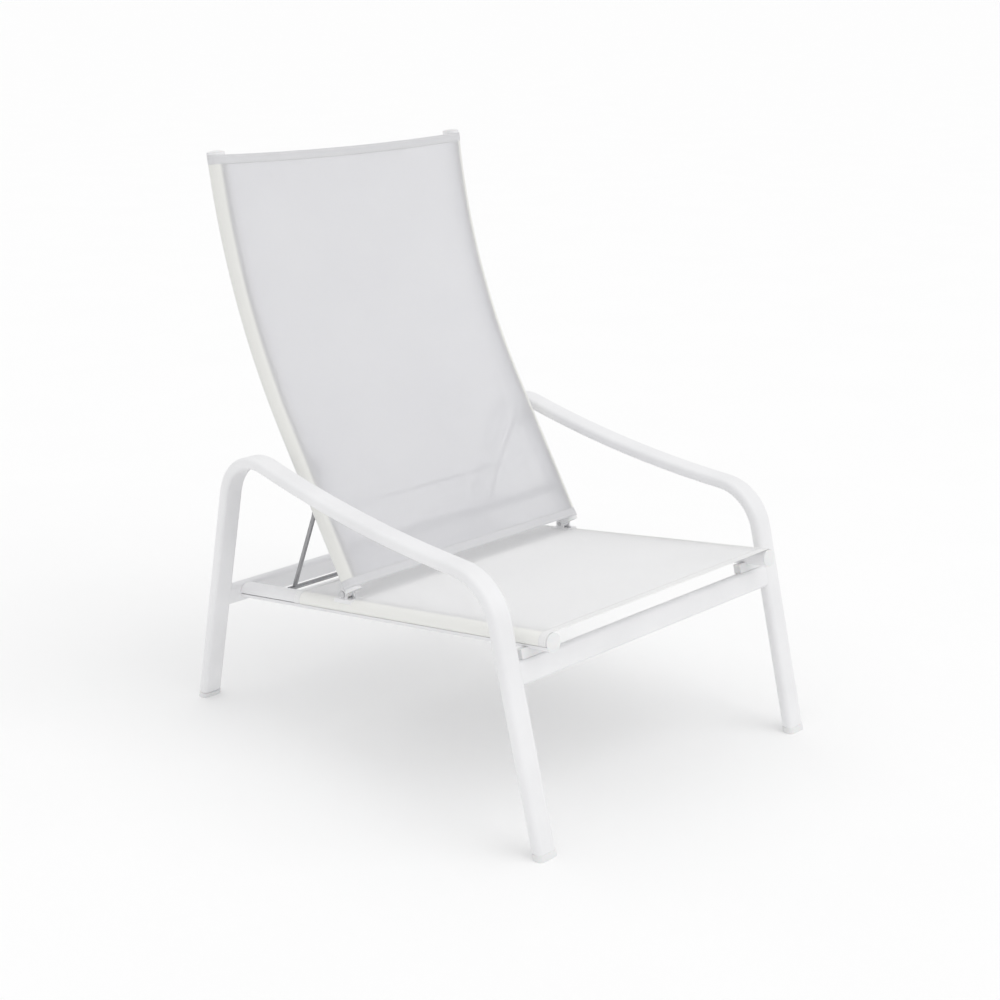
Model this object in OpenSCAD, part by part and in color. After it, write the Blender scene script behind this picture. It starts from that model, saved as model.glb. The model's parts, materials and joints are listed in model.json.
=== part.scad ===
// Low reclining garden armchair: two bent flat-oval side frames joined by two crossbars, sloping seat rails
// and a curved reclining back with fabric stretched between them, and a rod bail that props the back.
// Millimetres. +Z up, ground at z = 0, the sitter faces -Y, the sitter's left is +X.

/* [Overall] */
// Width over the outer faces of the side frames
overall_w = 690; // [600:10:780]
// Depth on the ground, from the front of the front feet to the back of the rear feet
overall_d = 896; // [860:4:960]

/* [Side frames] */
// Width of the flat-oval frame tube
tube_w = 40; // [34:1:46]
// Thickness of the flat-oval frame tube
tube_t = 20; // [18:1:22]
// Corner radius of the frame tube
tube_r = 8; // [6:0.5:8.5]
// Wall of the frame tube
tube_wall = 1.6; // [1.2:0.1:2.4]
// Height of the armrest's top where the front bend ends
arm_h = 438; // [415:1:460]
// Lean of the front legs, from vertical
front_rake = 15.2; // [12:0.1:18]
// Lean of the rear legs, from vertical
rear_rake = 14.4; // [12:0.1:17]
// Rise of the armrest at its front end
arm_pitch_front = 2.2; // [1:0.1:4]
// Rise of the armrest at its rear end
arm_pitch_rear = 13; // [11:0.1:15]
// Radius of the front bend, on the tube's centre line
front_bend_r = 91; // [70:1:110]
// Radius of the rear bend, on the tube's centre line
rear_bend_r = 92; // [70:1:110]
// Height of the foot glides
glide_h = 11; // [8:1:16]
// How far the glides stand out around the tube
glide_lip = 0.8; // [0.4:0.1:1.5]

/* [Crossbars] */
// Height of the front crossbar's centre
front_bar_z = 281; // [265:1:295]
// Height of the rear crossbar's centre
rear_bar_z = 211; // [195:1:225]

/* [Seat] */
// Radius of the seat and back rails
rail_r = 15; // [13:0.5:16]
// Wall of the seat and back rails
rail_wall = 2; // [1.6:0.1:2.6]
// Gap between a seat rail and the leg beside it
rail_gap = 19; // [14:0.5:26]
// Gap between the front crossbar and the rail above it
saddle_gap = 11; // [8:0.5:14]
// Height of the rail's rear end above the rear crossbar's centre
rear_rail_lift = 3; // [0:0.5:6]
// How far the rails reach ahead of the front crossbar
rail_overhang = 42; // [34:1:50]
// Distance from the back's hinge to the rear crossbar, along the rails
hinge_back = 296.9; // [286:0.1:316]
// Height of the hinge above the top of the rails
hinge_rise = 10.4; // [9.5:0.1:12]
// Distance from the seat fabric's rear edge to the bail's foot in the upright place
cloth_stop = 58; // [28:1:75]

/* [Back] */
// Lean of the back's straight lower part, from vertical
back_rake = 32.4; // [28:0.2:36]
// Length of the back rails' straight lower part
back_straight = 299; // [270:1:330]
// Bend radius of the back rails' upper part
back_bend_r = 1090; // [900:10:1400]
// Angle that the back rails' upper part turns through
back_turn = 25; // [18:0.5:28]
// Distance from the back rails' front to the hinge axis
hinge_inset = 4.5; // [4:0.5:7]

/* [Bail] */
// Radius of the bail's rods
rod_r = 4; // [3.5:0.1:4.5]
// Distance from the hinge to the bail's pivot, along the back
pivot_s = 219; // [205:1:235]
// Distance from the hinge to the bail's foot, along the rails, in the upright place
foot_reach = 191; // [183:1:199]
// How far the bail's legs lean in towards each other at the stiffener
leg_kink = 12; // [8:1:16]
// Turn of the bail against the back, for each degree that the back reclines
bail_ratio = 1.6; // [1.6:0.01:1.6]

/* [Hidden] */
$fn = 64;
section_fn = 48;
long_arc_fn = 720;

// Bends are this much thicker than straight runs, which reach into them
bend_swell = 0.03;
bend_lap = 0.3;

// Clearances
fit_gap = 0.05;
pin_gap = 0.05;
cloth_gap = 0.3;
swing_gap = 0.4;

// Side frame, walked from the front foot: headings are measured from +Y towards +Z
up_heading = 90 - front_rake;
down_heading = rear_rake - 90;
front_foot_y = -overall_d / 2 + tube_t / 2 / cos(front_rake);
rear_foot_y = overall_d / 2 - tube_t / 2 / cos(rear_rake);
front_leg_len = (arm_h - tube_t / 2 - front_bend_r * (cos(arm_pitch_front) - cos(up_heading)))
    / sin(up_heading);
front_leg_end = [front_foot_y + front_leg_len * cos(up_heading), front_leg_len * sin(up_heading)];
arm_start = front_leg_end + front_bend_r
    * [sin(up_heading) - sin(arm_pitch_front), cos(arm_pitch_front) - cos(up_heading)];
rear_bend_step = rear_bend_r
    * [sin(arm_pitch_rear) - sin(down_heading), cos(down_heading) - cos(arm_pitch_rear)];
// The armrest's radius closes the path on the rear foot
arm_unit = [sin(arm_pitch_rear) - sin(arm_pitch_front), cos(arm_pitch_front) - cos(arm_pitch_rear)];
arm_r = (rear_foot_y - arm_start.x - rear_bend_step.x
    - (arm_start.y + rear_bend_step.y) * tan(rear_rake))
    / (arm_unit.x + arm_unit.y * tan(rear_rake));
arm_end = arm_start + arm_r * arm_unit;
rear_leg_start = arm_end + rear_bend_step;
rear_leg_len = rear_leg_start.y / cos(rear_rake);
side_x = overall_w / 2 - tube_w / 2;
leg_inner_x = overall_w / 2 - tube_w;
glide_plug = 20;

// Crossbars, on the legs' centre lines
bar_step = 0.5;
bar_w = tube_w - 2 * bar_step;
bar_t = tube_t - 2 * bar_step;
front_bar_y = front_foot_y + front_bar_z * tan(front_rake);
rear_bar_y = rear_foot_y - rear_bar_z * tan(rear_rake);

// Seat rails: a line from above the front crossbar to the front face of the rear one
rail_x = leg_inner_x - rail_gap - rail_r;
front_seat_y = front_bar_y + bar_w / 2 * sin(front_rake);
front_seat_z = front_bar_z + bar_w / 2 * cos(front_rake);
rear_seat_y = rear_bar_y - bar_t / 2;
rear_seat_z = rear_bar_z + rear_rail_lift;
seat_slope = atan2(front_seat_z + saddle_gap + rail_r - rear_seat_z, rear_seat_y - front_seat_y);
seat_y = front_bar_y - rail_overhang * cos(seat_slope);
seat_z = front_seat_z + saddle_gap + rail_r + (front_seat_y - seat_y) * tan(seat_slope);
saddle_s = (front_seat_y - seat_y) / cos(seat_slope);
cap_t = 4;
cap_dome = 2.5;
groove_r = 3.2;
groove_angle = -15;
groove_d = rail_r - 4.4;
slot_w = 2;
keder_r = 2.9;
cloth_t = 1.5;
cloth_h = rail_r + cloth_gap;

// Hinge
rail_len = (rear_seat_y - seat_y) / cos(seat_slope);
hinge_s = rail_len - hinge_back;
hinge_h = rail_r + hinge_rise;
hinge_y = seat_y + hinge_s * cos(seat_slope) + hinge_h * sin(seat_slope);
hinge_z = seat_z - hinge_s * sin(seat_slope) + hinge_h * cos(seat_slope);
pin_r = 4;
knuckle_r = 7.8;
knuckle_w = 12;
ear_r = 8.4;
ear_t = 4;
ear_gap = 0.3;
base_l = 44;
base_w = 25;
base_h = rail_r + 2;
ear_out = knuckle_w / 2 + ear_gap + ear_t;
fitting_low = -3;
plug_r = 5.5;
plug_h = 25;
screw_r = 2.5;
screw_head_r = 4.4;
screw_head_h = 2.4;

// Back
back_offset = rail_r + hinge_inset;
bend_z = back_straight;
back_cloth_start = 3;
back_cloth_end = back_turn - 0.1;
spreader_r = 9;
spreader_back = 4;
spreader_z = 70;
lug_w = 18;
lug_l = 34;

// Bail
foot_h = rod_r + 3;
foot_s = hinge_s + foot_reach;
seat_len = foot_s - cloth_stop - cap_t;
leg_x = rail_x - rail_r - 15.5;
foot_x = rail_x - rail_r - 2;
top_bend_r = 8;
lug_x = leg_x + top_bend_r + swing_gap;
pivot_y = hinge_y + pivot_s * sin(back_rake) - back_offset * cos(back_rake);
pivot_z = hinge_z + pivot_s * cos(back_rake) + back_offset * sin(back_rake);
foot_y = seat_y + foot_s * cos(seat_slope) + foot_h * sin(seat_slope);
foot_z = seat_z - foot_s * sin(seat_slope) + foot_h * cos(seat_slope);
bail_len = norm([foot_y - pivot_y, foot_z - pivot_z]);
bail_lean = atan2(foot_y - pivot_y, pivot_z - foot_z);
kink_share = 0.39;
kink_angle = atan2(leg_kink, bail_len * kink_share);
kink_angle_low = atan2(leg_kink, bail_len * (1 - kink_share));
kink_r = 30;
bend_x = leg_x + top_bend_r;
top_end = [bend_x - top_bend_r * cos(kink_angle), top_bend_r * (1 - sin(kink_angle))];
upper_run = (bail_len * kink_share - top_end.y) / cos(kink_angle);
kink_start = top_end + upper_run * [-sin(kink_angle), cos(kink_angle)];
kink_centre = kink_start + kink_r * [cos(kink_angle), sin(kink_angle)];
kink_end = kink_centre + kink_r * [-cos(kink_angle_low), sin(kink_angle_low)];
lower_run = (bail_len - rod_r - fit_gap - kink_end.y - rod_r * sin(kink_angle_low)) / cos(kink_angle_low);

// Places of the bail's foot on the rack: the back's turn from rest, positive forwards
places = [3.8, 0, -4, -8, -12.2];
function turned(v, a) = [v.x * cos(a) - v.y * sin(a), v.x * sin(a) + v.y * cos(a)];
function foot_at(a) = let (
        pivot = turned([pivot_y - hinge_y, pivot_z - hinge_z], a),
        arm = turned([foot_y - pivot_y, foot_z - pivot_z], a - bail_ratio * a),
        p = [hinge_y - seat_y, hinge_z - seat_z] + pivot + arm
    ) turned(p, seat_slope);
foot_points = [for (a = places) foot_at(a)];
rack_h = min([for (a = [places[4]:0.5:places[0]]) foot_at(a).y]) - rod_r - swing_gap;
rack_depth = 2.4;
rack_low = -9;
rack_t = 4.5;
rack_end = 12;

// Colours
white_paint = [0.94, 0.94, 0.95];
white_plastic = [0.9, 0.91, 0.91];
cloth_white = [0.88, 0.88, 0.89];
steel = [0.55, 0.56, 0.57];

// ---- Shared shapes ----

module rounded_rect(w, t, r) {
    square([w - 2 * r, t], center = true);
    square([w, t - 2 * r], center = true);
    for (x = [-1, 1], y = [-1, 1]) {
        translate([x * (w / 2 - r), y * (t / 2 - r)])
            circle(r, $fn = section_fn);
    }
}

// Section of the frame tube, grown by extra on every side
module tube_outline(extra = 0) {
    rounded_rect(tube_w + 2 * extra, tube_t + 2 * extra, tube_r + extra);
}

// Hollow section of a crossbar, a little smaller than the legs that it is welded between
module bar_section() {
    difference() {
        tube_outline(-bar_step);
        tube_outline(-bar_step - tube_wall);
    }
}

// Section of a rail: +x is the outboard side, +y the side where the fabric lies
module rail_section() {
    groove = groove_d * [cos(groove_angle), sin(groove_angle)];
    difference() {
        circle(rail_r, $fn = section_fn);
        difference() {
            circle(rail_r - rail_wall, $fn = section_fn);
            translate(groove)
                circle(groove_r + 1.6, $fn = section_fn);
        }
        translate(groove)
            circle(groove_r, $fn = section_fn);
        translate(groove)
            rotate(groove_angle)
                translate([0, -slot_w / 2])
                    square([rail_r, slot_w]);
    }
}

module keder_section() {
    translate(groove_d * [cos(groove_angle), sin(groove_angle)])
        circle(keder_r, $fn = section_fn);
}

// Frame of the seat: y runs back along the rails, z stands square on them
module on_seat() {
    translate([0, seat_y, seat_z])
        rotate([-seat_slope, 0, 0])
            children();
}

// Frame of the back: the hinge is the origin, z runs up along the rails, y points to the rear
module on_back() {
    translate([0, hinge_y, hinge_z])
        rotate([-back_rake, 0, 0])
            children();
}

// Frame of the bail: the pivot is the origin, z runs down to the foot
module on_bail() {
    translate([0, pivot_y, pivot_z])
        rotate([180 + bail_lean, 0, 0])
            children();
}

// Puts a section that is drawn for x on the path's plane
module heading(y, z, angle) {
    translate([0, y, z])
        rotate([angle - 90, 0, 0])
            children();
}

// A bend about an axis along x, from the ring angle start through sweep
module ring(y, z, r, start, sweep, fine = false) {
    translate([0, y, z])
        rotate([90, 0, 90])
            rotate([0, 0, start])
                rotate_extrude(angle = sweep, $fn = fine ? long_arc_fn : $fn)
                    translate([r, 0])
                        children();
}

module bar_x(r, x0, x1) {
    translate([x0, 0, 0])
        rotate([0, 90, 0])
            cylinder(r = r, h = x1 - x0, $fn = section_fn);
}

module left() {
    children();
}

module right() {
    mirror([1, 0, 0])
        children();
}

// ---- Side frames, crossbars and feet ----

// The side frame's path, filled, with its outline grown by extra and its legs cut off at height low.
// The bends are a hair thicker than the straight runs, which reach a little into them.
module side_path(extra, low) {
    arm_lap = bend_lap / arm_r * 180 / PI;
    translate([side_x, 0, 0]) {
        difference() {
            union() {
                heading(front_foot_y, 0, up_heading)
                    translate([0, 0, -tube_t])
                        linear_extrude(front_leg_len + tube_t + bend_lap)
                            tube_outline(extra);
                heading(rear_leg_start.x, rear_leg_start.y, down_heading)
                    translate([0, 0, -bend_lap])
                        linear_extrude(rear_leg_len + tube_t + bend_lap)
                            tube_outline(extra);
            }
            translate([0, 0, low - overall_d])
                cube(2 * overall_d, center = true);
        }
        ring(front_leg_end.x + front_bend_r * sin(up_heading), front_leg_end.y - front_bend_r * cos(up_heading),
            front_bend_r, 90 + arm_pitch_front, up_heading - arm_pitch_front)
            rotate(90)
                tube_outline(extra + bend_swell);
        ring(arm_start.x - arm_r * sin(arm_pitch_front), arm_start.y + arm_r * cos(arm_pitch_front),
            arm_r, arm_pitch_front - arm_lap - 90, arm_pitch_rear - arm_pitch_front + 2 * arm_lap, fine = true)
            rotate(90)
                tube_outline(extra);
        ring(arm_end.x + rear_bend_r * sin(arm_pitch_rear), arm_end.y - rear_bend_r * cos(arm_pitch_rear),
            rear_bend_r, 90 + down_heading, arm_pitch_rear - down_heading)
            rotate(90)
                tube_outline(extra + bend_swell);
    }
}

module side_frame() {
    color(white_paint)
        difference() {
            side_path(0, glide_h);
            side_path(-tube_wall, 0);
        }
}

// A crossbar on the legs' centre line, its ends cut to the shape of the legs
module crossbar(y, z, angle) {
    color(white_paint)
        heading(y, z, angle)
            difference() {
                rotate([0, 90, 0])
                    translate([0, 0, -side_x])
                        linear_extrude(2 * side_x)
                            bar_section();
                for (s = [-1, 1]) {
                    translate([s * side_x, 0, -tube_w])
                        linear_extrude(2 * tube_w)
                            tube_outline(fit_gap);
                }
            }
}

module front_crossbar() {
    crossbar(front_bar_y, front_bar_z, up_heading);
}

module rear_crossbar() {
    crossbar(rear_bar_y, rear_bar_z, 180 + down_heading);
}

// A foot glide: a skirt around the cut end of the tube with a plug inside it
module glide(y, angle) {
    color(white_plastic)
        translate([side_x, 0, 0])
            difference() {
                heading(y, 0, angle)
                    translate([0, 0, -tube_t]) {
                        linear_extrude(glide_h + tube_t + glide_plug)
                            tube_outline(-tube_wall - fit_gap);
                        linear_extrude(glide_h + tube_t)
                            tube_outline(glide_lip);
                    }
                translate([0, 0, -overall_d])
                    cube(2 * overall_d, center = true);
                difference() {
                    translate([-tube_w, y - 2 * tube_w, glide_h])
                        cube([2 * tube_w, 4 * tube_w, 2 * glide_h]);
                    heading(y, 0, angle)
                        linear_extrude(glide_h + tube_t + glide_plug)
                            tube_outline(-tube_wall - fit_gap);
                }
            }
}

module front_glide() {
    glide(front_foot_y, up_heading);
}

module rear_glide() {
    glide(rear_foot_y, 180 + down_heading);
}

// ---- Seat ----

// Everything behind the rear crossbar's front face, moved forwards by gap
module behind_rear_bar(gap) {
    translate([0, rear_bar_y, rear_bar_z])
        rotate([rear_rake, 0, 0])
            translate([-overall_w / 2, -bar_t / 2 - gap, -overall_w / 2])
                cube([overall_w, overall_w, overall_w]);
}

pad_t = 2;
seat_run = rail_len + 4 * rail_r;

module rail_run(start, length) {
    on_seat()
        translate([rail_x, start, 0])
            rotate([-90, 0, 0])
                linear_extrude(length)
                    mirror([0, 1])
                        children();
}

module seat_rail() {
    color(white_paint)
        difference() {
            rail_run(cap_t, seat_run)
                rail_section();
            behind_rear_bar(pad_t + fit_gap);
        }
}

module rear_pad() {
    color(white_plastic)
        difference() {
            rail_run(hinge_s, seat_run - hinge_s)
                circle(rail_r, $fn = section_fn);
            behind_rear_bar(fit_gap);
            translate([0, rear_bar_y, rear_bar_z])
                rotate([rear_rake, 0, 0])
                    translate([0, -overall_w - bar_t / 2 - pad_t, 0])
                        cube([2 * overall_w, 2 * overall_w, 2 * overall_w], center = true);
        }
}

// A domed end cap with its front at the origin, facing -y
module end_cap() {
    dome_r = (rail_r * rail_r + cap_dome * cap_dome) / (2 * cap_dome);
    color(white_plastic)
        rotate([-90, 0, 0]) {
            intersection() {
                cylinder(r = rail_r, h = cap_t - fit_gap);
                translate([0, 0, dome_r])
                    sphere(dome_r, $fn = 180);
            }
        }
}

module seat_cap() {
    on_seat()
        translate([rail_x, 0, 0])
            end_cap();
}

module seat_keder() {
    color(cloth_white)
        rail_run(cap_t + 1, seat_len)
            keder_section();
}

module seat_fabric() {
    color(cloth_white)
        on_seat()
            difference() {
                translate([-rail_x, cap_t, cloth_h])
                    cube([2 * rail_x, seat_len, cloth_t]);
                for (s = [-1, 1]) {
                    translate([s * rail_x - base_w / 2 - 1, hinge_s - base_l / 2 - 1, 0])
                        cube([base_w + 2, base_l + 2, 2 * rail_r]);
                }
            }
}

saddle_w = 56;
saddle_t = tube_t - 6;

// A block on top of the front crossbar that cradles the rail
module saddle() {
    color(white_plastic)
        difference() {
            translate([rail_x, front_seat_y, front_seat_z + fit_gap])
                rotate([-front_rake, 0, 0])
                    translate([-saddle_w / 2, -saddle_t / 2, 0])
                        cube([saddle_w, saddle_t, saddle_gap + rail_r / 3]);
            rail_run(0, seat_run)
                circle(rail_r + fit_gap, $fn = section_fn);
        }
}

bolt_r = 3;
bolt_head_r = 6;
bolt_head_h = 3.5;
bolt_washer = 0.1;

// Bolts through the rear crossbar into the rails
module frame_bolts() {
    color(steel)
        for (s = [-1, 1]) {
            translate([s * rail_x, rear_bar_y, rear_bar_z])
                rotate([rear_rake - 90, 0, 0])
                    translate([0, 0, bar_t / 2 + bolt_washer])
                        cylinder(r = bolt_head_r, h = bolt_head_h);
        }
}

// ---- Hinge ----

module screw_head() {
    cylinder(r1 = screw_head_r, r2 = screw_head_r / 2, h = screw_head_h);
}

module hinge_bracket() {
    color(white_paint)
        on_seat()
            translate([rail_x, hinge_s, 0])
                difference() {
                    union() {
                        translate([-base_w / 2, -base_l / 2, rail_r / 2])
                            cube([base_w, base_l, base_h - rail_r / 2]);
                        for (s = [-1, 1]) {
                            translate([s * (ear_out - ear_t / 2) - ear_t / 2, -ear_r, base_h - 1])
                                cube([ear_t, 2 * ear_r, hinge_h - base_h + 1]);
                            translate([s * (ear_out - ear_t / 2), 0, hinge_h])
                                rotate([0, 90, 0])
                                    cylinder(r = ear_r, h = ear_t, center = true);
                        }
                    }
                    rotate([90, 0, 0])
                        cylinder(r = rail_r + fit_gap, h = 2 * base_l, center = true);
                    translate([0, 0, hinge_h])
                        rotate([0, 90, 0])
                            cylinder(r = pin_r + 0.01, h = 2 * base_w, center = true);
                }
}

module hinge_pin() {
    color(steel)
        on_seat()
            translate([rail_x, hinge_s, hinge_h]) {
                bar_x(pin_r, -ear_out - 1.5, ear_out + 1);
                bar_x(pin_r + 2.4, ear_out + fit_gap, ear_out + 2.5);
            }
}

module bracket_screws() {
    color(steel)
        on_seat()
            for (s = [-1, 1], t = [-1, 1]) {
                translate([s * rail_x, hinge_s + t * (base_l / 2 - 7), base_h + fit_gap])
                    screw_head();
            }
}

// ---- Back ----

// The rail's line in the back's frame: a straight run and an arc that bends forwards
module back_run(z0, angle_end) {
    on_back()
        translate([rail_x, 0, 0]) {
            translate([0, -back_offset, z0])
                linear_extrude(bend_z - z0)
                    mirror([0, 1])
                        children();
            ring(-back_offset - back_bend_r, bend_z, back_bend_r, 0, angle_end, fine = true)
                rotate(90)
                    children();
        }
}

// Room around the hinge: the bracket's ears and the knuckle turn in it
module hinge_room() {
    on_back()
        translate([rail_x, 0, 0])
            bar_x(ear_r + 0.8, -ear_out - 1, ear_out + 1);
}

module back_rail() {
    color(white_paint)
        difference() {
            back_run(0, back_turn)
                rail_section();
            hinge_room();
        }
}

module back_keder() {
    color(cloth_white)
        back_run(1, back_cloth_end)
            keder_section();
}

module back_cap() {
    on_back()
        translate([rail_x, -back_offset - back_bend_r, bend_z])
            rotate([back_turn, 0, 0])
                translate([0, back_bend_r, cap_t])
                    rotate([90, 0, 0])
                        mirror([0, 1, 0])
                            end_cap();
}

module back_fabric() {
    color(cloth_white)
        on_back() {
            translate([-rail_x, -back_offset - cloth_h - cloth_t, back_cloth_start])
                cube([2 * rail_x, cloth_t, bend_z - back_cloth_start]);
            ring(-back_offset - back_bend_r, bend_z, back_bend_r - cloth_h - cloth_t / 2, 0, back_cloth_end,
                fine = true)
                square([cloth_t, 2 * rail_x], center = true);
        }
}

// The fitting in a back rail's lower end: a cap, a plug and the knuckle that turns on the hinge pin
module hinge_fitting() {
    color(white_plastic)
        on_back()
            translate([rail_x, 0, 0])
                difference() {
                    union() {
                        translate([0, -back_offset, fitting_low])
                            cylinder(r = rail_r, h = -fit_gap - fitting_low);
                        translate([0, -back_offset, fitting_low])
                            cylinder(r = plug_r, h = plug_h);
                        bar_x(knuckle_r, -knuckle_w / 2, knuckle_w / 2);
                        translate([-knuckle_w / 2, -back_offset, fitting_low])
                            cube([knuckle_w, back_offset, -fit_gap - fitting_low]);
                    }
                    for (s = [-1, 1]) {
                        translate([s * (ear_out - ear_t / 2), 0, 0])
                            rotate([0, 90, 0])
                                cylinder(r = ear_r + 0.8, h = ear_t + 2 * ear_gap, center = true);
                    }
                    rotate([0, 90, 0])
                        cylinder(r = pin_r + pin_gap, h = 4 * knuckle_w, center = true);
                }
}

module spreader() {
    color(white_paint)
        on_back()
            difference() {
                translate([0, spreader_back - back_offset, spreader_z])
                    bar_x(spreader_r, -rail_x, rail_x);
                translate([0, spreader_back - back_offset, spreader_z])
                    bar_x(spreader_r - tube_wall, -rail_x, rail_x);
                for (s = [-1, 1]) {
                    translate([s * rail_x, -back_offset, 0])
                        cylinder(r = rail_r + fit_gap, h = bend_z);
                }
            }
}

// ---- Bail ----

module bail_lug() {
    color(white_plastic)
        on_back()
            difference() {
                translate([lug_x, -back_offset - lug_w / 2, pivot_s - lug_l / 2])
                    cube([rail_x - rail_r / 2 - lug_x, lug_w, lug_l]);
                translate([rail_x, -back_offset, 0])
                    cylinder(r = rail_r + fit_gap, h = bend_z);
                translate([0, -back_offset, pivot_s])
                    bar_x(rod_r + pin_gap, 0, rail_x);
            }
}

module lug_screws() {
    color(steel)
        on_back()
            for (s = [-1, 1], t = [-1, 1]) {
                translate([s * (lug_x - fit_gap), -back_offset, pivot_s + t * (lug_l / 2 - 5.5)])
                    rotate([0, -s * 90, 0])
                        screw_head();
            }
}

// A bend in the plane of the bail, as an arc about a centre given as [x, z], a hair thicker than the rod
module rod_bend(centre, r, start, sweep) {
    translate([centre.x, 0, centre.y])
        rotate([90, 0, 0])
            rotate([0, 0, start])
                rotate_extrude(angle = sweep)
                    translate([r, 0])
                        circle(rod_r + bend_swell, $fn = section_fn);
}

// A straight run of the rod that starts at [x, z], leans by angle and reaches a little into the bends
module rod_run(from, angle, length, lap_end) {
    translate([from.x, 0, from.y])
        rotate([0, angle, 0])
            translate([0, 0, -bend_lap])
                cylinder(r = rod_r, h = length + bend_lap + lap_end, $fn = section_fn);
}

module bail_leg() {
    color(steel)
        on_bail() {
            bar_x(rod_r, bend_x - bend_lap, rail_x - rail_r - 0.6);
            rod_bend([bend_x, top_bend_r], top_bend_r, 180 + kink_angle, 90 - kink_angle);
            rod_run(top_end, -kink_angle, upper_run, bend_lap);
            rod_bend(kink_centre, kink_r, 180 - kink_angle_low, kink_angle + kink_angle_low);
            rod_run(kink_end, kink_angle_low, lower_run, 0);
        }
}

module bail_stiffener() {
    end_x = kink_centre.x - kink_r - rod_r - fit_gap;
    color(steel)
        on_bail()
            translate([0, 0, kink_centre.y])
                bar_x(rod_r, -end_x, end_x);
}

module bail_foot_bar() {
    color(steel)
        on_bail()
            translate([0, 0, bail_len])
                bar_x(rod_r, -foot_x, foot_x);
}

// A notched strip on the inner side of a seat rail that holds the bail's foot bar
module rack() {
    s0 = foot_points[0].x - rack_end;
    s1 = foot_points[len(foot_points) - 1].x + rack_end;
    color(white_plastic)
        on_seat()
            difference() {
                translate([rail_x - rail_r - rack_t, s0, rack_low])
                    cube([rack_t + rail_r / 2, s1 - s0, rack_h - rack_low]);
                translate([rail_x, 0, 0])
                    rotate([-90, 0, 0])
                        cylinder(r = rail_r + fit_gap, h = seat_run);
                for (p = foot_points) {
                    translate([0, p.x, rack_h - rack_depth + rod_r])
                        bar_x(rod_r + swing_gap / 2, 0, rail_x);
                }
            }
}

module rack_screws() {
    s0 = foot_points[0].x;
    s1 = foot_points[len(foot_points) - 1].x;
    color(steel)
        on_seat()
            for (s = [-1, 1], y = [s0 * 0.75 + s1 * 0.25, s0 * 0.25 + s1 * 0.75]) {
                translate([s * (rail_x - rail_r - rack_t - fit_gap), y, rack_low / 2 - 0.5])
                    rotate([0, -s * 90, 0])
                        scale(0.8)
                            screw_head();
            }
}

left() side_frame();  // side_frame_left
right() side_frame();  // side_frame_right
front_crossbar();
rear_crossbar();
left() front_glide();  // glide_front_left
right() front_glide();  // glide_front_right
left() rear_glide();  // glide_rear_left
right() rear_glide();  // glide_rear_right
left() seat_rail();  // seat_rail_left
right() seat_rail();  // seat_rail_right
left() seat_cap();  // seat_cap_left
right() seat_cap();  // seat_cap_right
left() rear_pad();  // rear_pad_left
right() rear_pad();  // rear_pad_right
left() saddle();  // saddle_left
right() saddle();  // saddle_right
frame_bolts();
left() seat_keder();  // seat_keder_left
right() seat_keder();  // seat_keder_right
seat_fabric();
left() hinge_bracket();  // hinge_bracket_left
right() hinge_bracket();  // hinge_bracket_right
left() hinge_pin();  // hinge_pin_left
right() hinge_pin();  // hinge_pin_right
bracket_screws();
left() rack();  // rack_left
right() rack();  // rack_right
rack_screws();
left() back_rail();  // back_rail_left
right() back_rail();  // back_rail_right
left() back_cap();  // back_cap_left
right() back_cap();  // back_cap_right
left() hinge_fitting();  // hinge_fitting_left
right() hinge_fitting();  // hinge_fitting_right
left() back_keder();  // back_keder_left
right() back_keder();  // back_keder_right
back_fabric();
spreader();
left() bail_lug();  // bail_lug_left
right() bail_lug();  // bail_lug_right
lug_screws();
left() bail_leg();  // bail_leg_left
right() bail_leg();  // bail_leg_right
bail_stiffener();
bail_foot_bar();
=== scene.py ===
"""Looks of the low reclining garden armchair: stretched mesh seat and back, powder coat, plastic and rod steel."""
import json
import math

import bmesh
import bpy
from mathutils import Matrix, Vector


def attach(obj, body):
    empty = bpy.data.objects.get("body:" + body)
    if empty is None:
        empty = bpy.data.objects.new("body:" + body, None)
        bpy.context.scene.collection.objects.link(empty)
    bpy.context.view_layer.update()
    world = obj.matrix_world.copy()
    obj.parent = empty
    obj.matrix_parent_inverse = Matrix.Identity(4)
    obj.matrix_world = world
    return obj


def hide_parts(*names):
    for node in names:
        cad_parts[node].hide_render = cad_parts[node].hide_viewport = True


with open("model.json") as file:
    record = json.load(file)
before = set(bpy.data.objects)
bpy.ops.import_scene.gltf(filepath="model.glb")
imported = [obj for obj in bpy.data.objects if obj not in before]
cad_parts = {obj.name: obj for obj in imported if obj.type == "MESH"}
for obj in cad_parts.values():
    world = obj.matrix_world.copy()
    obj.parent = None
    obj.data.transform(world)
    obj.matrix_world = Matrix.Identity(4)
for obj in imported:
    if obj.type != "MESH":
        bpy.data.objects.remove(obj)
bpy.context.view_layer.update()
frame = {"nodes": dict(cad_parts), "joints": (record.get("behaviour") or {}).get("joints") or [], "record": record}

# ---- Sizes, in metres, in the row frame ----

# The seat: a line from the rails' front end down to the rear
RAIL_X = 0.2710
RAIL_R = 0.015
SEAT_ORIGIN = Vector((0, -0.40281, 0.33296))
SEAT_SLOPE = math.radians(8.7065)
SEAT_START, SEAT_LEN = 0.005, 0.617

# The back, in its own frame: z up along the rails from the hinge, y to the rear
HINGE = Vector(next(j["pos_m"] for j in frame["joints"] if j["name"] == "back_recline"))
BACK_RAKE = math.radians(32.4)
BACK_OFFSET = 0.0195
BACK_BEND_Z = 0.299
BACK_BEND_R = 1.090
BACK_TURN = math.radians(25)
BACK_START, BACK_END_GAP = 0.0035, 0.0030

# The fabric's section: its lift off the rails, its thickness, and the groove's angle, into which its edge is tucked
CLOTH_LIFT = 0.0006
CLOTH_T = 0.0009
GROOVE = math.radians(-11.5)
TUCK = 0.0018
WRAP_STEPS = 14
ACROSS_STEPS = 44
# Pitch of the weave's yarns
YARN = 0.0013
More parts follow.
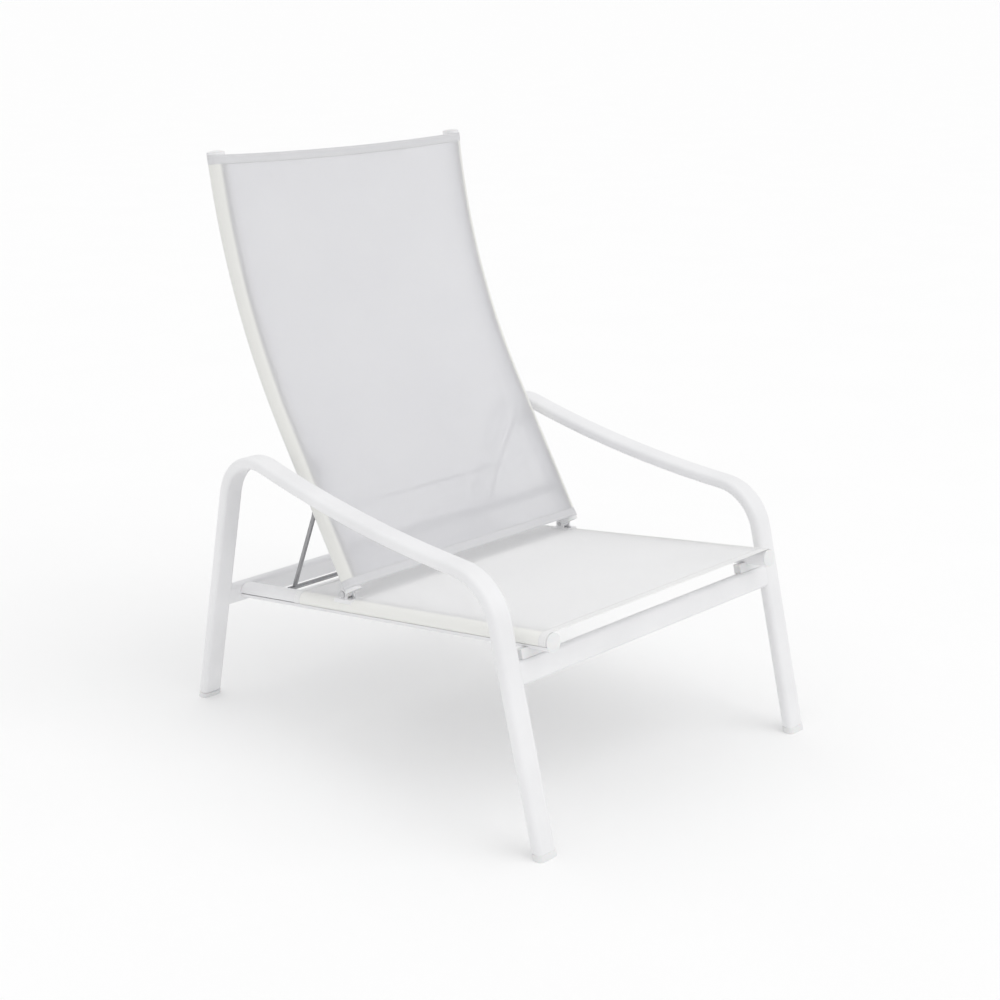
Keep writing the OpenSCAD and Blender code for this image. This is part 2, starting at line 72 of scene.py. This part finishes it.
# Distances from the fabric's side edge: the paler part over the rail, its fade-out, and the flat weld line
RAIL_BACKED = 0.0245
RAIL_BACKED_EDGE = 0.006
FADE = 0.022
WELD_LINE = 0.046
WELD_HALF = 0.0011
# The end hems, and the stitch lines' distances from the hem's two edges
END_HEM = 0.016
HEM_T = 0.0007
HEM_LIFT = 0.0004
HEM_ROLL = 0.0007
SEAM_OUTER, SEAM_INNER = 0.003, 0.002
STITCH_R = 0.00045
STITCH_LEN = 0.0034
STITCH_GAP = 0.0011

# Camera and light
CAMERA_PLACE = Vector((-1.9718, -1.9864, 1.2880))
CAMERA_AZIMUTH = math.radians(-45)
CAMERA_ELEVATION = math.radians(21.67)
CAMERA_LENS = 59.9
SENSOR = 36.0
CAMERA_SHIFT_Y = 0.123
WORLD_LIGHT = 0.80
KEY_LIGHT = 0.45
TOP_LIGHT = 0.40


# ---- Materials ----

def new_material(name):
    """An empty node material: (material, node tree, its Principled shader)."""
    material = bpy.data.materials.new(name)
    material.use_nodes = True
    tree = material.node_tree
    return material, tree, tree.nodes["Principled BSDF"]


def node(tree, kind, inputs=None, **settings):
    """Adds a node, with its settings and the values of its inputs."""
    n = tree.nodes.new(kind)
    for key, value in settings.items():
        setattr(n, key, value)
    for key, value in (inputs or {}).items():
        n.inputs[key].default_value = value
    return n


def tint(tree, factor, low, high):
    """A colour between low and high, as factor says."""
    mix = node(tree, "ShaderNodeMix", data_type="RGBA")
    mix.inputs["A"].default_value = (*low, 1)
    mix.inputs["B"].default_value = (*high, 1)
    tree.links.new(factor, mix.inputs["Factor"])
    return mix.outputs["Result"]


def noise(tree, scale, detail=4.0, roughness=0.5):
    """Noise in the object's own space, in metres."""
    place = node(tree, "ShaderNodeTexCoord")
    n = node(tree, "ShaderNodeTexNoise", {"Scale": scale, "Detail": detail, "Roughness": roughness})
    tree.links.new(place.outputs["Object"], n.inputs["Vector"])
    return n.outputs["Fac"]


def ramp(tree, factor, low, high):
    """Factor stretched so that low becomes 0 and high becomes 1."""
    n = node(tree, "ShaderNodeMapRange", {"From Min": low, "From Max": high})
    tree.links.new(factor, n.inputs["Value"])
    return n.outputs["Result"]


def maths(tree, operation, a, b=None, c=None, clamp=False):
    """One arithmetic step on sockets or numbers."""
    n = node(tree, "ShaderNodeMath", operation=operation, use_clamp=clamp)
    for socket, value in zip(n.inputs, (a, b, c)):
        if isinstance(value, (int, float)):
            socket.default_value = value
        elif value is not None:
            tree.links.new(value, socket)
    return n.outputs[0]


def bump(tree, shader, height, distance, strength=1.0):
    """Bumps the shader's surface by a height."""
    n = node(tree, "ShaderNodeBump", {"Distance": distance, "Strength": strength})
    tree.links.new(height, n.inputs["Height"])
    tree.links.new(n.outputs["Normal"], shader.inputs["Normal"])


def powder_coat(name, low, high):
    """Powder-coated metal: a fine orange-peel texture with faint mottling."""
    material, tree, shader = new_material(name)
    mottling = noise(tree, 9.0, 3.0)
    tree.links.new(tint(tree, ramp(tree, mottling, 0.35, 0.65), low, high), shader.inputs["Base Color"])
    gloss = noise(tree, 60.0, 2.0)
    tree.links.new(maths(tree, "MULTIPLY_ADD", gloss, 0.12, 0.34), shader.inputs["Roughness"])
    shader.inputs["Specular IOR Level"].default_value = 0.4
    shader.inputs["Coat Weight"].default_value = 0.12
    shader.inputs["Coat Roughness"].default_value = 0.3
    peel = noise(tree, 1500.0, 2.0, 0.45)
    bump(tree, shader, peel, 0.00006, 0.5)
    return material


def moulded_plastic(name, low, high):
    """Moulded plastic: fine grain and slight sheen changes."""
    material, tree, shader = new_material(name)
    cloud = noise(tree, 22.0, 3.0)
    tree.links.new(tint(tree, ramp(tree, cloud, 0.3, 0.7), low, high), shader.inputs["Base Color"])
    gloss = noise(tree, 140.0, 2.0)
    tree.links.new(maths(tree, "MULTIPLY_ADD", gloss, 0.2, 0.4), shader.inputs["Roughness"])
    shader.inputs["Subsurface Weight"].default_value = 0.06
    shader.inputs["Subsurface Scale"].default_value = 0.004
    grain = noise(tree, 2600.0, 2.0)
    bump(tree, shader, grain, 0.00004, 0.5)
    return material


def drawn_steel(name, low, high, stretch):
    """Drawn or brushed stainless steel, its fine lines running along the axis that stretch makes long."""
    material, tree, shader = new_material(name)
    place = node(tree, "ShaderNodeTexCoord")
    scale = node(tree, "ShaderNodeMapping")
    scale.inputs["Scale"].default_value = stretch
    tree.links.new(place.outputs["Object"], scale.inputs["Vector"])
    lines = node(tree, "ShaderNodeTexNoise", {"Scale": 1.0, "Detail": 5.0, "Roughness": 0.6})
    tree.links.new(scale.outputs["Vector"], lines.inputs["Vector"])
    shade = ramp(tree, lines.outputs["Fac"], 0.3, 0.7)
    tree.links.new(tint(tree, shade, low, high), shader.inputs["Base Color"])
    shader.inputs["Metallic"].default_value = 1.0
    tree.links.new(maths(tree, "MULTIPLY_ADD", shade, 0.16, 0.3), shader.inputs["Roughness"])
    bump(tree, shader, lines.outputs["Fac"], 0.00003, 0.5)
    return material


def plain_weave(tree, uv, thread):
    """(height, gap) of a plain weave along the UV map: height is 1 on a yarn's crown, gap is 1 between the yarns."""
    split = node(tree, "ShaderNodeSeparateXYZ")
    tree.links.new(uv, split.inputs["Vector"])
    across, along = (
        maths(tree, "ABSOLUTE", maths(tree, "SINE", maths(tree, "MULTIPLY", split.outputs[axis], math.pi / thread)))
        for axis in ("X", "Y"))
    checker = node(tree, "ShaderNodeTexChecker", {"Scale": 1.0 / thread})
    tree.links.new(uv, checker.inputs["Vector"])
    over = maths(tree, "MULTIPLY", across, checker.outputs["Fac"])
    under = maths(tree, "MULTIPLY", along, maths(tree, "SUBTRACT", 1.0, checker.outputs["Fac"]))
    low = maths(tree, "MULTIPLY", maths(tree, "MINIMUM", across, along), 0.8)
    height = maths(tree, "MAXIMUM", maths(tree, "ADD", over, under), low)
    gap = maths(tree, "MULTIPLY", maths(tree, "SUBTRACT", 1.0, across), maths(tree, "SUBTRACT", 1.0, along))
    return height, gap


def blended(tree, factor, a, b):
    """Colour a, turning into b as factor goes to 1. Each is a colour or a socket."""
    mix = node(tree, "ShaderNodeMix", data_type="RGBA")
    tree.links.new(factor, mix.inputs["Factor"])
    for name, value in (("A", a), ("B", b)):
        if isinstance(value, tuple):
            mix.inputs[name].default_value = (*value, 1)
        else:
            tree.links.new(value, mix.inputs[name])
    return mix.outputs["Result"]


def mesh_cloth(name, low, high, see_through, backed=None, soak=0.0):
    """Woven mesh of coated yarn. The weave runs along the UV map, which is in metres across and along the cloth.
    Between the yarns it lets what is behind show. With a backed colour it is a whole fabric: it takes that colour
    near both sides, where a rail backs it, and a flat weld line runs beside that."""
    material, tree, shader = new_material(name)
    uv = node(tree, "ShaderNodeUVMap", uv_map="cloth").outputs["UV"]
    height, gap = plain_weave(tree, uv, YARN)
    cloud = noise(tree, 5.0, 3.0)
    slub = noise(tree, 420.0, 2.0)
    shade = maths(tree, "ADD", maths(tree, "MULTIPLY", cloud, 0.6), maths(tree, "MULTIPLY", slub, 0.4))
    colour = tint(tree, ramp(tree, shade, 0.35, 0.65), low, high)
    if backed is not None:
        split = node(tree, "ShaderNodeSeparateXYZ")
        tree.links.new(uv, split.inputs["Vector"])
        side = maths(tree, "MINIMUM", split.outputs["X"], maths(tree, "SUBTRACT", CLOTH_WIDTH, split.outputs["X"]))
        near = ramp(tree, side, RAIL_BACKED + FADE, RAIL_BACKED)
        over_rail = ramp(tree, side, RAIL_BACKED + RAIL_BACKED_EDGE, RAIL_BACKED)
        colour = blended(tree, maths(tree, "MULTIPLY", near, 0.25), colour, backed)
        colour = blended(tree, over_rail, colour, backed)
        gap = maths(tree, "MULTIPLY", gap, maths(tree, "SUBTRACT", 1.0, over_rail))
        weld = maths(tree, "LESS_THAN", maths(tree, "ABSOLUTE", maths(tree, "SUBTRACT", side, WELD_LINE)), WELD_HALF)
        height = maths(tree, "MULTIPLY", height, maths(tree, "SUBTRACT", 1.0, maths(tree, "MULTIPLY", weld, 0.85)))
    # Painted shade: the hollows between the yarns, and the flattened weld line, are darkened toward a deeper copy of
    # the low colour
    painted_valley_shade = maths(tree, "MULTIPLY", maths(tree, "SUBTRACT", 1.0, height), 0.1)
    colour = blended(tree, painted_valley_shade, colour, tuple(0.6 * c for c in low))
    tree.links.new(colour, shader.inputs["Base Color"])
    shader.inputs["Roughness"].default_value = 0.62
    shader.inputs["Specular IOR Level"].default_value = 0.25
    shader.inputs["Sheen Weight"].default_value = 0.05
    shader.inputs["Sheen Roughness"].default_value = 0.5
    # Light soaks through the thin yarns where no rail backs them
    if backed is not None:
        tree.links.new(maths(tree, "MULTIPLY", maths(tree, "SUBTRACT", 1.0, over_rail), soak),
                       shader.inputs["Subsurface Weight"])
    shader.inputs["Subsurface Radius"].default_value = (1.0, 1.0, 1.0)
    shader.inputs["Subsurface Scale"].default_value = 0.004
    tree.links.new(maths(tree, "SUBTRACT", 1.0, maths(tree, "MULTIPLY", gap, see_through), clamp=True),
                   shader.inputs["Alpha"])
    bump(tree, shader, height, 0.0003, 0.6)
    return material


def thread_material(name, colour):
    """Twisted sewing thread."""
    material, tree, shader = new_material(name)
    fibres = noise(tree, 3200.0, 2.0)
    tree.links.new(tint(tree, fibres, tuple(0.86 * c for c in colour), colour), shader.inputs["Base Color"])
    shader.inputs["Roughness"].default_value = 0.6
    bump(tree, shader, fibres, 0.00005)
    return material


WHITE_PAINT = powder_coat("white powder coat", (0.83, 0.83, 0.84), (0.87, 0.87, 0.88))
WHITE_PLASTIC = moulded_plastic("white moulding", (0.79, 0.79, 0.795), (0.85, 0.85, 0.85))
ROD_STEEL = drawn_steel("drawn rod", (0.30, 0.30, 0.31), (0.44, 0.44, 0.45), (900.0, 160.0, 60.0))
FIXINGS = drawn_steel("stainless fixings", (0.50, 0.50, 0.51), (0.66, 0.66, 0.67), (400.0, 400.0, 400.0))
# The cloth's line from groove to groove: round both rails and straight across
CLOTH_WIDTH = 2 * (RAIL_X + (RAIL_R + CLOTH_LIFT) * (math.pi / 2 - GROOVE) + TUCK)
BACK_CLOTH = mesh_cloth("back mesh", (0.76, 0.76, 0.79), (0.80, 0.80, 0.825), 2.2, (0.86, 0.86, 0.83), 0.6)
SEAT_CLOTH = mesh_cloth("seat mesh", (0.91, 0.91, 0.915), (0.95, 0.95, 0.955), 0.6, (0.94, 0.94, 0.91), 0.6)
BACK_HEM = mesh_cloth("back hem", (0.78, 0.78, 0.80), (0.81, 0.81, 0.825), 0.8)
SEAT_HEM = mesh_cloth("seat hem", (0.88, 0.88, 0.88), (0.92, 0.92, 0.92), 0.0)
# The cord tucked in the rails' grooves: dark partly as its own colour and partly as painted shade for the shadow
# inside the groove
DARK_CORD_AND_GROOVE_SHADE = mesh_cloth("edge cord with painted groove shade", (0.22, 0.22, 0.20), (0.30, 0.30, 0.28), 0.0)
THREAD = thread_material("sewing thread", (0.84, 0.84, 0.84))

SLOT_MATERIALS = {
    "white_paint": WHITE_PAINT,
    "white_plastic": WHITE_PLASTIC,
    "rod_steel": ROD_STEEL,
    "fixings": FIXINGS,
    "edge_cord": DARK_CORD_AND_GROOVE_SHADE,
    "seat_cloth": SEAT_CLOTH,
    "back_cloth": BACK_CLOTH,
}


def dress_cad_nodes():
    """Gives each CAD node the material of its slot."""
    slots = {part["node"]: part["material_slot"] for part in frame["record"]["subparts"]}
    for name, obj in frame["nodes"].items():
        obj.data.materials.clear()
        obj.data.materials.append(SLOT_MATERIALS[slots[name]])


# ---- Places on the seat and the back ----

class Seat:
    """Points over the seat rails: along runs back from the rails' front end, lift is the height over their axis."""

    @staticmethod
    def point(x, along, lift):
        """The point in the row frame."""
        y = along * math.cos(SEAT_SLOPE) + lift * math.sin(SEAT_SLOPE)
        z = -along * math.sin(SEAT_SLOPE) + lift * math.cos(SEAT_SLOPE)
        return SEAT_ORIGIN + Vector((x, y, z))


class Back:
    """Points before the back rails: along runs up their axis from the hinge, lift is the distance to the front."""
    length = BACK_BEND_Z + BACK_BEND_R * BACK_TURN

    @staticmethod
    def point(x, along, lift):
        """The point in the row frame."""
        if along <= BACK_BEND_Z:
            y, z = -BACK_OFFSET - lift, along
        else:
            turn = (along - BACK_BEND_Z) / BACK_BEND_R
            y = -BACK_OFFSET - BACK_BEND_R + (BACK_BEND_R - lift) * math.cos(turn)
            z = BACK_BEND_Z + (BACK_BEND_R - lift) * math.sin(turn)
        c, s = math.cos(BACK_RAKE), math.sin(BACK_RAKE)
        return HINGE + Vector((x, y * c + z * s, -y * s + z * c))


# ---- Cloth ----

def cloth_section(lift):
    """The cloth's line across the chair, from one groove over both rails to the other, as (x, height over the rails'
    axis, distance along the line)."""
    r = RAIL_R + lift
    side = [(RAIL_X + (r - TUCK) * math.cos(GROOVE), (r - TUCK) * math.sin(GROOVE))]
    for i in range(WRAP_STEPS + 1):
        angle = GROOVE + (math.pi / 2 - GROOVE) * i / WRAP_STEPS
        side.append((RAIL_X + r * math.cos(angle), r * math.sin(angle)))
    flat = [(RAIL_X * (1 - 2 * i / ACROSS_STEPS), r) for i in range(1, ACROSS_STEPS)]
    line = side + flat + [(-x, h) for x, h in reversed(side)]
    walked, out = 0.0, []
    for i, (x, h) in enumerate(line):
        if i:
            walked += math.dist(line[i - 1], line[i])
        out.append((x, h, walked))
    return out


def grid_object(name, rows, uvs, thickness, material):
    """A sheet through rows of points, with the UV map "cloth" in metres and a thickness about them."""
    bm = bmesh.new()
    layer = bm.loops.layers.uv.new("cloth")
    verts = [[bm.verts.new(p) for p in row] for row in rows]
    for i in range(len(rows) - 1):
        for j in range(len(rows[0]) - 1):
            corners = ((i, j), (i, j + 1), (i + 1, j + 1), (i + 1, j))
            face = bm.faces.new([verts[a][b] for a, b in corners])
            face.smooth = True
            for loop, (a, b) in zip(face.loops, corners):
                loop[layer].uv = uvs[a][b]
    mesh = bpy.data.meshes.new(name)
    bm.to_mesh(mesh)
    bm.free()
    mesh.materials.append(material)
    obj = bpy.data.objects.new(name, mesh)
    bpy.context.scene.collection.objects.link(obj)
    shell = obj.modifiers.new("thickness", "SOLIDIFY")
    shell.thickness = thickness
    shell.offset = 0
    return obj


def edge_pull(t):
    """How far an end hem is drawn in at the share t across the cloth: none at the rails, most in the middle."""
    return 4 * t * (1 - t)


def cloth(name, place, start, end, steps, pull_start, pull_end, material):
    """A stretched cloth over the two rails. The ends are drawn in a little in the middle."""
    section = cloth_section(CLOTH_LIFT)
    width = section[-1][2]
    rows, uvs = [], []
    for i in range(steps + 1):
        share = i / steps
        row, uv_row = [], []
        for x, h, walked in section:
            t = walked / width
            low = start + pull_start * edge_pull(t)
            high = end - pull_end * edge_pull(t)
            along = low + (high - low) * share
            row.append(place.point(x, along, h))
            uv_row.append((walked, along))
        rows.append(row)
        uvs.append(uv_row)
    return grid_object(name, rows, uvs, CLOTH_T, material), width


def end_band(name, place, edge, inwards, pull, material, lift):
    """The hem along a cloth's end: a doubled band with a rounded, rolled edge."""
    section = cloth_section(lift)
    width = section[-1][2]
    profile = [(0.0, -CLOTH_LIFT * 0.9), (-HEM_ROLL * 0.55, -HEM_ROLL * 0.2), (-HEM_ROLL * 0.3, HEM_ROLL * 0.35)]
    profile += [(HEM_ROLL, HEM_ROLL * 0.5)] + [(END_HEM * k / 5, HEM_ROLL * 0.42) for k in range(1, 5)]
    profile += [(END_HEM, -HEM_LIFT)]
    rows, uvs = [], []
    for depth, rise in profile:
        row, uv_row = [], []
        for x, h, walked in section:
            t = walked / width
            along = edge + inwards * (depth + pull * edge_pull(t))
            scale = (RAIL_R + lift + rise) / (RAIL_R + lift)
            if abs(x) > RAIL_X:
                middle = math.copysign(RAIL_X, x)
                row.append(place.point(middle + (x - middle) * scale, along, h * scale))
            else:
                row.append(place.point(x, along, h + rise))
            uv_row.append((along, walked))
        rows.append(row)
        uvs.append(uv_row)
    return grid_object(name, rows, uvs, HEM_T * 0.6, material)


def stitch_line(name, points, material):
    """A line of stitches: short threads laid end to end along the points, each dipping into the cloth at its ends."""
    bm = bmesh.new()
    lengths = [0.0]
    for a, b in zip(points, points[1:]):
        lengths.append(lengths[-1] + (b - a).length)

    def at(distance):
        for k in range(len(points) - 1):
            if distance <= lengths[k + 1] or k == len(points) - 2:
                span = lengths[k + 1] - lengths[k]
                return points[k].lerp(points[k + 1], (distance - lengths[k]) / span if span else 0.0)
        return points[-1]

    pitch = STITCH_LEN + STITCH_GAP
    count = int(lengths[-1] / pitch)
    for i in range(count):
        a, b = at(i * pitch), at(i * pitch + STITCH_LEN)
        axis = (b - a).normalized()
        turn = axis.to_track_quat("Z", "Y").to_matrix().to_4x4()
        made = bmesh.ops.create_icosphere(bm, subdivisions=1, radius=1.0)
        shape = Matrix.Translation((a + b) / 2) @ turn @ Matrix.Diagonal((STITCH_R, STITCH_R, STITCH_LEN / 2, 1))
        bmesh.ops.transform(bm, matrix=shape, verts=made["verts"])
    for face in bm.faces:
        face.smooth = True
    mesh = bpy.data.meshes.new(name)
    bm.to_mesh(mesh)
    bm.free()
    mesh.materials.append(material)
    obj = bpy.data.objects.new(name, mesh)
    bpy.context.scene.collection.objects.link(obj)
    return obj


def across_points(place, along, inwards, pull, lift):
    """Points across the cloth at a distance along it, over both rails."""
    section = cloth_section(lift)
    width = section[-1][2]
    out = []
    for x, h, walked in section:
        out.append(place.point(x, along + inwards * pull * edge_pull(walked / width), h))
    return out


def make_cloth(kind, place, start, end, steps, pulls, materials, body, cad_node):
    """One whole stretched fabric: the mesh, its end hems and their stitching."""
    material, hem = materials
    main, width = cloth(f"{kind}_mesh", place, start, end, steps, *pulls, material)
    lift = CLOTH_LIFT + HEM_LIFT
    extras = []
    for word, edge, inwards, pull in (("low", start, 1, pulls[0]), ("high", end, -1, pulls[1])):
        extras.append(end_band(f"{kind}_hem_{word}", place, edge, inwards, pull, hem, lift))
        for k, depth in enumerate((SEAM_OUTER, END_HEM - SEAM_INNER)):
            points = across_points(place, edge + inwards * depth, inwards, pull, lift + HEM_T / 2 + 0.0002)
            extras.append(stitch_line(f"{kind}_seam_{word}_{k}", points, THREAD))
    for extra in extras:
        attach(extra, body)
    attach(main, body)
    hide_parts(cad_node)
    return main


def make_fabrics():
    """The seat's and the back's fabric."""
    make_cloth("seat", Seat, SEAT_START, SEAT_START + SEAT_LEN, 60, (0.0, 0.002),
               (SEAT_CLOTH, SEAT_HEM), "frame", "seat_fabric")
    make_cloth("back", Back, BACK_START, Back.length - BACK_END_GAP, 90, (0.0, 0.007),
               (BACK_CLOTH, BACK_HEM), "back", "back_fabric")


# ---- Stage, light and camera ----

def make_stage():
    """A pale floor that runs far behind the chair, and a pale world."""
    mesh = bpy.data.meshes.new("floor")
    bm = bmesh.new()
    bmesh.ops.create_grid(bm, x_segments=1, y_segments=1, size=400.0)
    bm.to_mesh(mesh)
    bm.free()
    floor = bpy.data.objects.new("floor", mesh)
    bpy.context.scene.collection.objects.link(floor)
    material, tree, shader = new_material("floor")
    speckle = noise(tree, 3.0, 2.0)
    tree.links.new(tint(tree, speckle, (0.955, 0.955, 0.955), (0.97, 0.97, 0.97)), shader.inputs["Base Color"])
    shader.inputs["Roughness"].default_value = 0.9
    shader.inputs["Specular IOR Level"].default_value = 0.1
    mesh.materials.append(material)

    world = bpy.data.worlds.new("studio")
    bpy.context.scene.world = world
    world.use_nodes = True
    world.node_tree.nodes["Background"].inputs["Color"].default_value = (1.0, 1.0, 1.0, 1)
    world.node_tree.nodes["Background"].inputs["Strength"].default_value = WORLD_LIGHT


def soft_sun(name, direction, angle, strength):
    """A wide, soft light that comes from a direction."""
    data = bpy.data.lights.new(name, "SUN")
    data.angle = math.radians(angle)
    data.energy = strength
    light = bpy.data.objects.new(name, data)
    light.rotation_euler = Vector(direction).to_track_quat("Z", "Y").to_euler()
    bpy.context.scene.collection.objects.link(light)


def make_lights():
    """A soft key from above on the viewer's right, and a weak one from straight above."""
    soft_sun("key", (1.0, -2.2, 2.6), 50, KEY_LIGHT)
    soft_sun("top", (-0.3, 0.2, 3.0), 80, TOP_LIGHT)


def make_camera():
    """The camera at the photograph's viewing angle."""
    data = bpy.data.cameras.new("camera")
    data.sensor_width = SENSOR
    data.lens = CAMERA_LENS
    data.shift_y = CAMERA_SHIFT_Y
    data.clip_end = 200
    camera = bpy.data.objects.new("camera", data)
    camera.location = CAMERA_PLACE
    camera.rotation_euler = (math.pi / 2 - CAMERA_ELEVATION, 0, CAMERA_AZIMUTH)
    bpy.context.scene.collection.objects.link(camera)
    bpy.context.scene.camera = camera
    bpy.context.scene.view_settings.view_transform = "Standard"


dress_cad_nodes()
make_fabrics()
make_stage()
make_lights()
make_camera()
